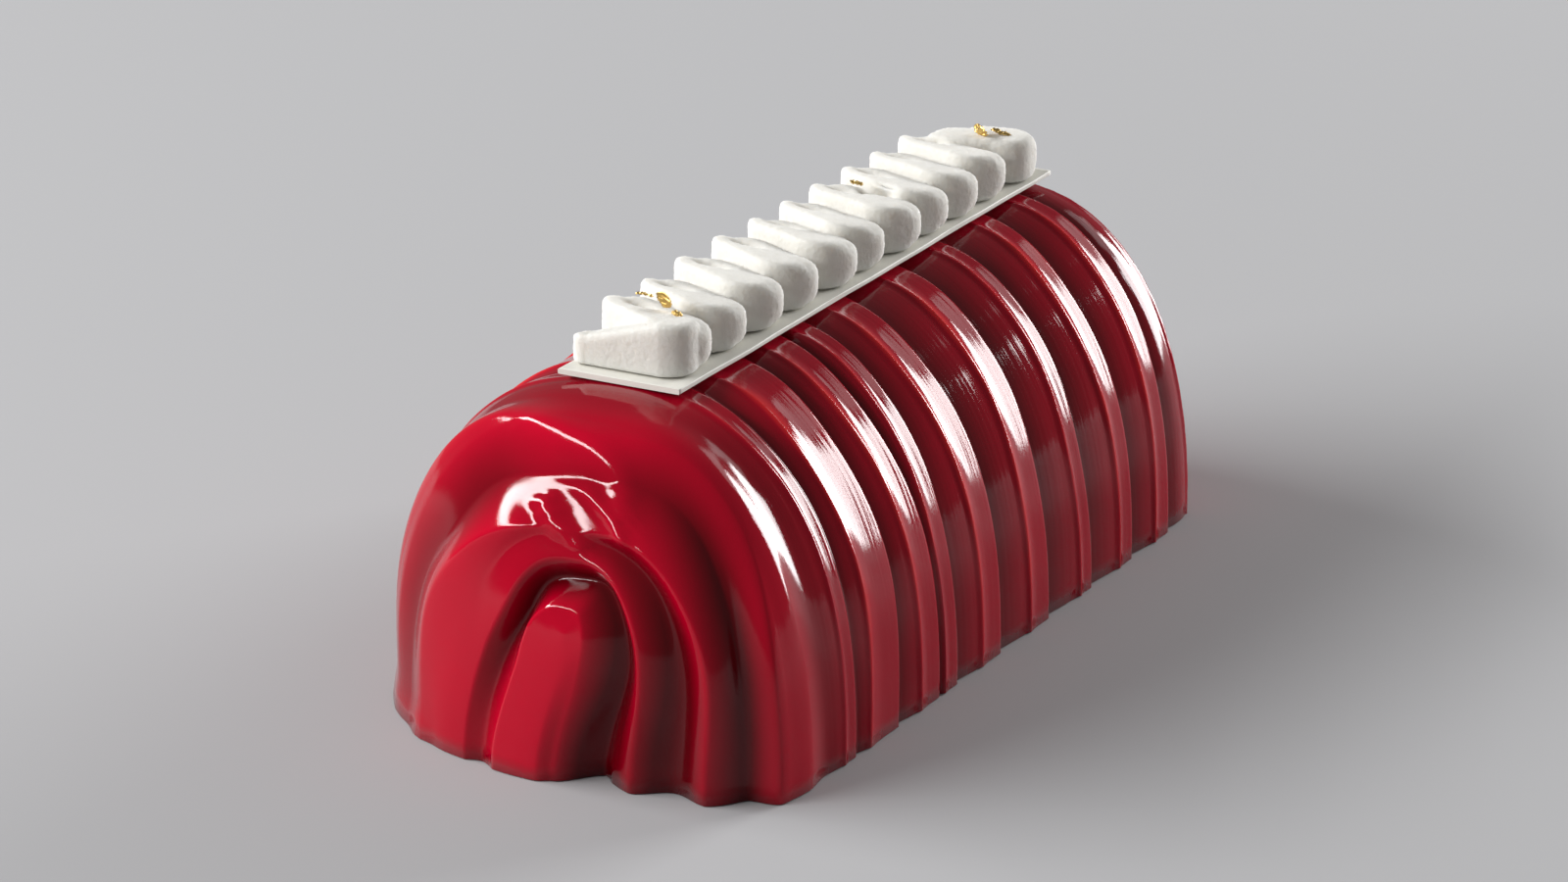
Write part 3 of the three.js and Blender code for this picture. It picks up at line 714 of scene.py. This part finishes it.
def mirror_glaze(settings):
    """Deep red glaze, brighter over the crests and darker in the hollows, partly from the glaze pooling and
    partly as painted shade, darker all over the pleated sides as painted shade, with a painted highlight of
    lighter red on the sharp lips, fine streaks that run up and down the pleats and a faint grain of tiny
    bubbles."""
    shader = Shader("mirror_glaze")
    flow = shader.add("UVMap", uv_map="glaze_flow").outputs[0]
    place = shader.place()
    pleated = shader.attribute("pleated")
    clouds = shader.math("MULTIPLY", shader.noise(place, CLOUD_SCALE), CLOUD_SHARE)
    # Painted shade: the level darkens the hollows and the pleated sides, on top of the glaze's pooling
    level = shader.clamp(shader.math("ADD", shader.attribute("fold_height"), clouds))
    tint = shader.between(level, tuple(settings.deep), tuple(settings.bright))
    # Painted highlight: a lighter red on the sharpest lips of the pleats, partly from the thinner glaze there
    lip = shader.clamp(shader.math("MULTIPLY_ADD", level, LIP_GAIN, LIP_OFFSET))
    tint = shader.between(shader.math("MULTIPLY", lip, pleated), tint, tuple(settings.thin))
    streaks = shader.noise(shader.stretch(flow, STREAK_SCALE), 1.0)
    bubbles = shader.noise(place, BUBBLE_SCALE)
    normal = shader.bump(streaks, STREAK_HEIGHT, shader.math("MULTIPLY", pleated, STREAK_STRENGTH))
    normal = shader.bump(bubbles, BUBBLE_HEIGHT, strength=0.5, normal=normal)
    return shader.finish(Base_Color=tint, Roughness=settings.roughness, IOR=1.36, Normal=normal)


def white_chocolate(settings):
    """Satin white chocolate, faintly mottled."""
    shader = Shader("white_chocolate")
    place = shader.place()
    pale = tuple(settings.tint)
    tint = shader.between(shader.noise(place, MOTTLE_SCALE, detail=3.0), shaded(pale, MOTTLE_SHADE), pale)
    grain = shader.noise(place, SHEET_GRAIN_SCALE, detail=3.0)
    normal = shader.bump(grain, SHEET_GRAIN_HEIGHT, strength=0.5)
    return shader.finish(Base_Color=tint, Roughness=0.42, IOR=1.45, Normal=normal)


def velvet_cream(settings):
    """Matt off-white cream with the fine grain of a velvet spray, which lets a little light through."""
    shader = Shader("velvet_cream")
    place = shader.place()
    pale = tuple(settings.tint)
    patches = shader.noise(place, SPRAY_TINT_SCALE, detail=4.0, roughness=0.7)
    tint = shader.between(patches, shaded(pale, SPRAY_SHADE), pale)
    grain = shader.noise(place, SPRAY_SCALE, detail=3.0, roughness=0.7)
    normal = shader.bump(grain, SPRAY_HEIGHT, strength=0.8)
    return shader.finish(
        Base_Color=tint, Roughness=0.95, IOR=1.4, Normal=normal, Specular_IOR_Level=0.3,
        Subsurface_Weight=GLOW_SHARE, Subsurface_Radius=GLOW_COLOUR, Subsurface_Scale=GLOW_DEPTH,
    )


def gold_leaf(settings):
    """Beaten gold, with wrinkles and small changes of colour."""
    shader = Shader("gold_leaf")
    place = shader.place()
    gold = tuple(settings.tint)
    tint = shader.between(shader.noise(place, LEAF_TINT_SCALE), shaded(gold, LEAF_SHADE), gold)
    wrinkles = shader.noise(place, WRINKLE_SCALE, detail=3.0)
    normal = shader.bump(wrinkles, WRINKLE_HEIGHT, strength=0.7)
    return shader.finish(Base_Color=tint, Roughness=0.28, Metallic=1.0, Normal=normal)


class CAKE_OT_glazed_log(bpy.types.Operator):
    """Make the pleated, glazed log"""

    bl_idname = "cake.glazed_log"
    bl_label = "Glazed log"

    def execute(self, context):
        settings = context.scene.cake_log
        points, heights, rows, station, marks = log_surface(settings)
        faces = grid_faces(*heights.shape).tolist()
        corner = np.arange(heights.size).reshape(heights.shape)
        faces.append(np.concatenate([corner[:, 0], corner[-2:0:-1, -1]])[::-1].tolist())
        piece = make_piece("pleated_log", points, faces, mirror_glaze(settings), "glazed_log", 1)
        guide_glaze(piece.data, points, heights, rows, station, marks)
        merge_doubles(piece.data, MERGE_GAP)
        return {"FINISHED"}


class CAKE_OT_plaque(bpy.types.Operator):
    """Make the white chocolate plaque"""

    bl_idname = "cake.plaque"
    bl_label = "Chocolate plaque"

    def execute(self, context):
        settings = context.scene.cake_plaque
        points = plaque_surface(settings)
        faces = tube_faces(*points.shape[:2])
        piece = make_piece("chocolate_sheet", points, faces, white_chocolate(settings),
                           "chocolate_plaque", 2)
        merge_doubles(piece.data, MERGE_GAP)
        return {"FINISHED"}


def edge_wave(along, waves, height):
    """A height times a sum of sines of the way along, each with its mm for a radian,
    its share and its start."""
    return height * sum(part * np.sin(along / (size * MM) + start) for size, part, start in waves)


def plaque_surface(settings):
    """The plaque as a grid of points: a rounded rectangle seen from its end, as corners that are
    carried out to the sides and rounded by sine and cosine, is carried along the log. Its long edges
    stray a little from straight, by a sum of sines of the way along."""
    low, high = np.array(PLAQUE_LOW), np.array(PLAQUE_HIGH)
    middle = (low + high) / 2
    half_width = (high[0] - low[0]) / 2 - PLAQUE_INSET
    half_thick = (high[2] - low[2]) / 2
    along = np.linspace(low[1] + PLAQUE_END_GAP, high[1] - PLAQUE_END_GAP, PLAQUE_ROWS)[:, None]
    turn = np.linspace(0, 2 * np.pi, PLAQUE_SIDES, endpoint=False)
    sine, cosine = np.sin(turn), np.cos(turn)
    corner = settings.edge_round
    side = np.sign(cosine) * (half_width - corner) + corner * cosine
    rise = np.sign(sine) * (half_thick - corner) + corner * sine
    right_stray = edge_wave(along, RIGHT_WAVES, settings.edge_waver)
    left_stray = -edge_wave(along, LEFT_WAVES, settings.edge_waver)
    stray = np.where(cosine > 0, right_stray, left_stray) * np.abs(cosine)
    x = middle[0] - np.tan(PLAQUE_TURN) * (along - middle[1]) + side + stray
    y = np.broadcast_to(along, x.shape)
    z = np.broadcast_to(middle[2] + rise, x.shape)
    return np.stack([x, y, z], -1)


class CAKE_OT_cream(bpy.types.Operator):
    """Pipe the zigzag of cream"""

    bl_idname = "cake.cream"
    bl_label = "Piped cream"

    def execute(self, context):
        settings = context.scene.cake_cream
        draw = np.random.default_rng(CREAM_SEED)
        joined = join_strokes(settings, cream_strokes(settings, draw))
        roughen_cream(joined, settings, draw)
        joined.materials.clear()
        joined.materials.append(velvet_cream(settings))
        joined.polygons.foreach_set("use_smooth", np.ones(len(joined.polygons), bool))
        join_cake(bpy.data.objects.new("piped_zigzag", joined), "piped_cream")
        return {"FINISHED"}


def stroke(start, end, widths, heights, fall):
    """A closed stroke of cream. In plan it is a capsule between two places whose round ends are
    super-ellipses. Its side is tucked in at the foot, widest below the middle and rounded over at
    the top, by a super-ellipse in height whose power is high on the near side and at the right end,
    which makes the crest crisp there. Its top falls from the near side to the far side."""
    turn = ((np.arange(STROKE_SIDES) + 0.5) / STROKE_SIDES * 2 * np.pi)[None, :]
    cosine, sine = np.cos(turn), np.sin(turn)
    crisp = smooth(np.clip(CRISP_END * np.maximum(cosine, 0) - CRISP_SIDE * sine, 0, 1))
    power = LOBE_POWER + (CREST_POWER - LOBE_POWER) * crisp
    lowest = -np.arcsin(FOOT_DEPTH ** (power / 2))
    angle = lowest + (np.pi / 2 - lowest) * np.linspace(0, 1, STROKE_LEVELS)[:, None]
    rise = np.sign(angle) * np.abs(np.sin(angle)) ** (2 / power)
    half = np.where(angle < 0, WIDEST_AT / FOOT_DEPTH, 1 - WIDEST_AT)
    at_end = cosine > 0
    width = np.where(at_end, widths[1], widths[0])
    reach = width / 2 * np.clip(np.cos(angle), 0, 1) ** (2 / power)
    ahead = reach * np.sign(cosine) * np.abs(cosine) ** (2 / PLAN_POWER)
    aside = reach * np.sign(sine) * np.abs(sine) ** (2 / PLAN_POWER)
    start, end = np.array(start), np.array(end)
    direction = (end - start) / np.linalg.norm(end - start)
    middle = np.where(at_end[..., None], end, start)
    x = middle[..., 0] + ahead * direction[0] - aside * direction[1]
    y = middle[..., 1] + ahead * direction[1] + aside * direction[0]
    level = WIDEST_AT + half * rise
    drop = fall * np.clip(level, 0, 1) ** FALL_POWER * (aside / width + 0.5)
    z = CREAM_FLOOR + np.where(at_end, heights[1], heights[0]) * level - drop
    points = np.stack([x + PIPING_SHEAR * y + LOAF_SHIFT[0], y + LOAF_SHIFT[1], z], -1)
    return points.reshape(-1, 3), tube_faces(*z.shape)


def cream_strokes(settings, draw):
    """The strokes of the zigzag, each with its two ends, widths, heights and fall."""
    strokes = [(np.array(a) * MM, np.array(b) * MM, np.array(w) * MM, np.array(h) * MM, fall * MM)
               for a, b, w, h, fall in TAIL_STROKES]
    width = 2 * settings.turn_radius
    for right_y, left_y in zip(RIGHT_TURNS_Y, LEFT_TURNS_Y):
        left = np.array([-settings.turn_reach, left_y * MM]) + draw.normal(0, LEFT_STRAY, 2)
        right = np.array([settings.turn_reach, right_y * MM]) + draw.normal(0, RIGHT_STRAY, 2)
        heights = settings.crown * (np.array(END_HEIGHTS) - HEIGHT_STRAY * draw.random(2))
        widths = width * (np.array(END_WIDTHS) + WIDTH_STRAY * draw.normal(0, 1, 2))
        fall = settings.shingle * (LEAST_FALL + FALL_STRAY * draw.random())
        strokes.append((left, right, widths, heights, fall))
    return strokes


def join_strokes(settings, strokes):
    """One mesh of all the strokes, joined into a single skin by voxels and smoothed a little."""
    all_points, all_faces, count = [], [], 0
    for parts in strokes:
        points, faces = stroke(*parts)
        all_points.append(points)
        all_faces += [[corner + count for corner in face] for face in faces]
        count += len(points)
    rough = bpy.data.meshes.new("strokes")
    rough.from_pydata(np.concatenate(all_points).tolist(), [], all_faces)
    merge_doubles(rough, STROKE_MERGE_GAP)
    holder = bpy.data.objects.new("strokes", rough)
    bpy.context.scene.collection.objects.link(holder)
    remesh = holder.modifiers.new("join", "REMESH")
    remesh.mode = "VOXEL"
    remesh.voxel_size = settings.voxel
    relax = holder.modifiers.new("relax", "SMOOTH")
    relax.factor = 0.5
    relax.iterations = 1
    joined = bpy.data.meshes.new_from_object(holder.evaluated_get(bpy.context.evaluated_depsgraph_get()))
    bpy.data.objects.remove(holder)
    bpy.data.meshes.remove(rough)
    joined.name = "piped_zigzag"
    return joined


def dent_depths(points):
    """How deep the nozzle's dents are at every point: a bell curve of the distance to each dent,
    which is longer from left to right than along the log and bends a little."""
    total = np.zeros(len(points))
    for x, y in DENTS:
        across = (points[:, 0] / MM - x) / DENT_LENGTH
        along = (points[:, 1] / MM - y + DENT_BEND * across) / DENT_WIDTH
        total += np.exp(-(across**2) - along**2)
    return DENT_DEPTH * MM * total


def roughen_cream(mesh, settings, draw):
    """Moves every point along its normal by slow lumps, which are a mean of sines in random
    directions, by a fine random grain, and down into the dents where the cream faces up. All of it
    fades out at the foot."""
    points = np.empty(len(mesh.vertices) * 3)
    mesh.vertices.foreach_get("co", points)
    points = points.reshape(-1, 3)
    normals = np.empty(len(mesh.vertices) * 3)
    mesh.vertex_normals.foreach_get("vector", normals)
    normals = normals.reshape(-1, 3)
    lumps = sum(np.sin(points @ draw.normal(0, 1 / LUMP_SIZE, 3) + draw.random() * PHASES)
                for _ in range(LUMP_COUNT)) / LUMP_COUNT
    grain = settings.grain * draw.normal(0, 1, len(points)).clip(-GRAIN_LIMIT, GRAIN_LIMIT)
    swell = LUMP_HEIGHT * lumps + grain
    swell -= dent_depths(points) * np.clip(normals[:, 2], 0, 1)
    swell *= np.clip((points[:, 2] - CREAM_FLOOR) / FOOT_FADE, 0, 1)
    points = points + normals * swell[:, None]
    points[:, 2] = np.maximum(points[:, 2], CREAM_FLOOR)
    mesh.vertices.foreach_set("co", points.ravel())


class CAKE_OT_gold(bpy.types.Operator):
    """Lay the flecks of gold leaf"""

    bl_idname = "cake.gold"
    bl_label = "Gold leaf"

    def execute(self, context):
        settings = context.scene.cake_gold
        draw = np.random.default_rng(GOLD_SEED)
        leaves = [crumpled_leaf(settings, draw, *leaf) for leaf in GOLD_LEAVES]
        one = grid_faces(LEAF_STEPS, LEAF_STEPS)
        faces = np.concatenate([one + number * LEAF_STEPS**2 for number in range(len(leaves))]).tolist()
        piece = make_piece("gold_flecks", np.concatenate(leaves), faces, gold_leaf(settings),
                           "piped_cream")
        wall = piece.modifiers.new("wall", "SOLIDIFY")
        wall.thickness = settings.thickness
        wall.offset = 0
        return {"FINISHED"}


def crumpled_leaf(settings, draw, middle, size, turn, tilt):
    """The points of a small sheet with an uneven outline: a square grid whose corners are drawn in
    by the root of one less half the other side's square, crumpled by a sum of folded sines that
    cross each other, then tilted and turned."""
    steps = np.linspace(-1, 1, LEAF_STEPS)
    u, v = np.meshgrid(steps, steps, indexing="ij")
    x = u * np.sqrt(1 - v**2 / 2) * size[0] / 2 * MM
    y = v * np.sqrt(1 - u**2 / 2) * size[1] / 2 * MM
    crumple = np.zeros_like(u)
    for _ in range(LEAF_WAVES):
        fx, fy, phase = draw.normal(0, WAVE_STRAY), draw.normal(0, WAVE_STRAY), draw.random() * PHASES
        crumple += np.abs(np.sin(fx * u + fy * v + phase)) - WAVE_MIDDLE
    z = crumple * settings.crumple / WAVES_TOGETHER
    angle, lift = math.radians(turn), math.radians(tilt)
    tilted_x = x * math.cos(lift) + z * math.sin(lift)
    tilted_z = -x * math.sin(lift) + z * math.cos(lift)
    turned_x = tilted_x * math.cos(angle) - y * math.sin(angle)
    turned_y = tilted_x * math.sin(angle) + y * math.cos(angle)
    points = np.stack([turned_x, turned_y, tilted_z], -1).reshape(-1, 3)
    return points + np.array(middle) * MM + np.array([*LOAF_SHIFT, 0])


class CAKE_OT_stage(bpy.types.Operator):
    """Set the floor, the lights and the camera"""

    bl_idname = "cake.stage"
    bl_label = "Stage"

    def execute(self, context):
        settings = context.scene.cake_stage
        lay_floor(settings)
        area_light("front_softbox", *FRONT_SOFTBOX, settings.front_light)
        area_light("back_softbox", *BACK_SOFTBOX, settings.back_light)
        area_light("back_panel", *BACK_PANEL, settings.panel_light)
        world = bpy.data.worlds.new("studio")
        world.use_nodes = True
        world.node_tree.nodes["Background"].inputs[0].default_value = (1, 1, 1, 1)
        world.node_tree.nodes["Background"].inputs[1].default_value = settings.room
        context.scene.world = world
        set_camera()
        context.scene.view_settings.view_transform = "Standard"
        return {"FINISHED"}


def lay_floor(settings):
    """A wide, plain, pale floor, just under the cake."""
    r = FLOOR_REACH
    mesh = bpy.data.meshes.new("floor")
    mesh.from_pydata([(-r, -r, 0), (r, -r, 0), (r, r, 0), (-r, r, 0)], [], [(0, 1, 2, 3)])
    mesh.materials.append(Shader("floor").finish(Base_Color=(*settings.floor, 1), Roughness=0.9))
    floor = bpy.data.objects.new("floor", mesh)
    floor.location.z = -FLOOR_GAP
    bpy.context.scene.collection.objects.link(floor)


def area_light(name, place, target, size, power):
    """A rectangular soft light that faces a target."""
    light = bpy.data.lights.new(name, "AREA")
    light.shape = "RECTANGLE"
    light.size, light.size_y = size
    light.energy = power
    lamp = bpy.data.objects.new(name, light)
    lamp.location = place
    lamp.visible_camera = False
    lamp.rotation_euler = (Vector(target) - Vector(place)).to_track_quat("-Z", "Y").to_euler()
    bpy.context.scene.collection.objects.link(lamp)


def set_camera():
    """The photo's viewing angle."""
    camera = bpy.data.cameras.new("camera")
    camera.lens = CAMERA_LENS
    camera.sensor_width = CAMERA_SENSOR
    holder = bpy.data.objects.new("camera", camera)
    holder.location = CAMERA_PLACE
    holder.rotation_euler = (Vector(CAMERA_TARGET) - Vector(CAMERA_PLACE)).to_track_quat("-Z", "Y").to_euler()
    bpy.context.scene.collection.objects.link(holder)
    bpy.context.scene.camera = holder


class CAKE_PT_panel(bpy.types.Panel):
    """The cake's pieces in the sidebar"""

    bl_idname = "CAKE_PT_panel"
    bl_label = "Yule log cake"
    bl_space_type = "VIEW_3D"
    bl_region_type = "UI"
    bl_category = "Cake"

    def draw(self, context):
        for group, operator in PIECES:
            box = self.layout.box()
            box.operator(operator)
            settings = getattr(context.scene, group)
            for name in type(settings).__annotations__:
                box.prop(settings, name)


SETTINGS = (
    ("cake_log", LogSettings),
    ("cake_plaque", PlaqueSettings),
    ("cake_cream", CreamSettings),
    ("cake_gold", GoldSettings),
    ("cake_stage", StageSettings),
)
OPERATORS = (CAKE_OT_glazed_log, CAKE_OT_plaque, CAKE_OT_cream, CAKE_OT_gold, CAKE_OT_stage)
PIECES = tuple((group, operator.bl_idname) for (group, _), operator in zip(SETTINGS, OPERATORS))


def register():
    """Registers the settings, the operators and the panel."""
    for name, group in SETTINGS:
        bpy.utils.register_class(group)
        setattr(bpy.types.Scene, name, PointerProperty(type=group))
    for operator in OPERATORS:
        bpy.utils.register_class(operator)
    bpy.utils.register_class(CAKE_PT_panel)


def unregister():
    """Takes back what register did."""
    bpy.utils.unregister_class(CAKE_PT_panel)
    for operator in reversed(OPERATORS):
        bpy.utils.unregister_class(operator)
    for name, group in reversed(SETTINGS):
        delattr(bpy.types.Scene, name)
        bpy.utils.unregister_class(group)


def main():
    """Makes every piece."""
    register()
    bpy.ops.cake.glazed_log()
    bpy.ops.cake.plaque()
    bpy.ops.cake.cream()
    bpy.ops.cake.gold()
    bpy.ops.cake.stage()


if __name__ == "__main__":
    main()
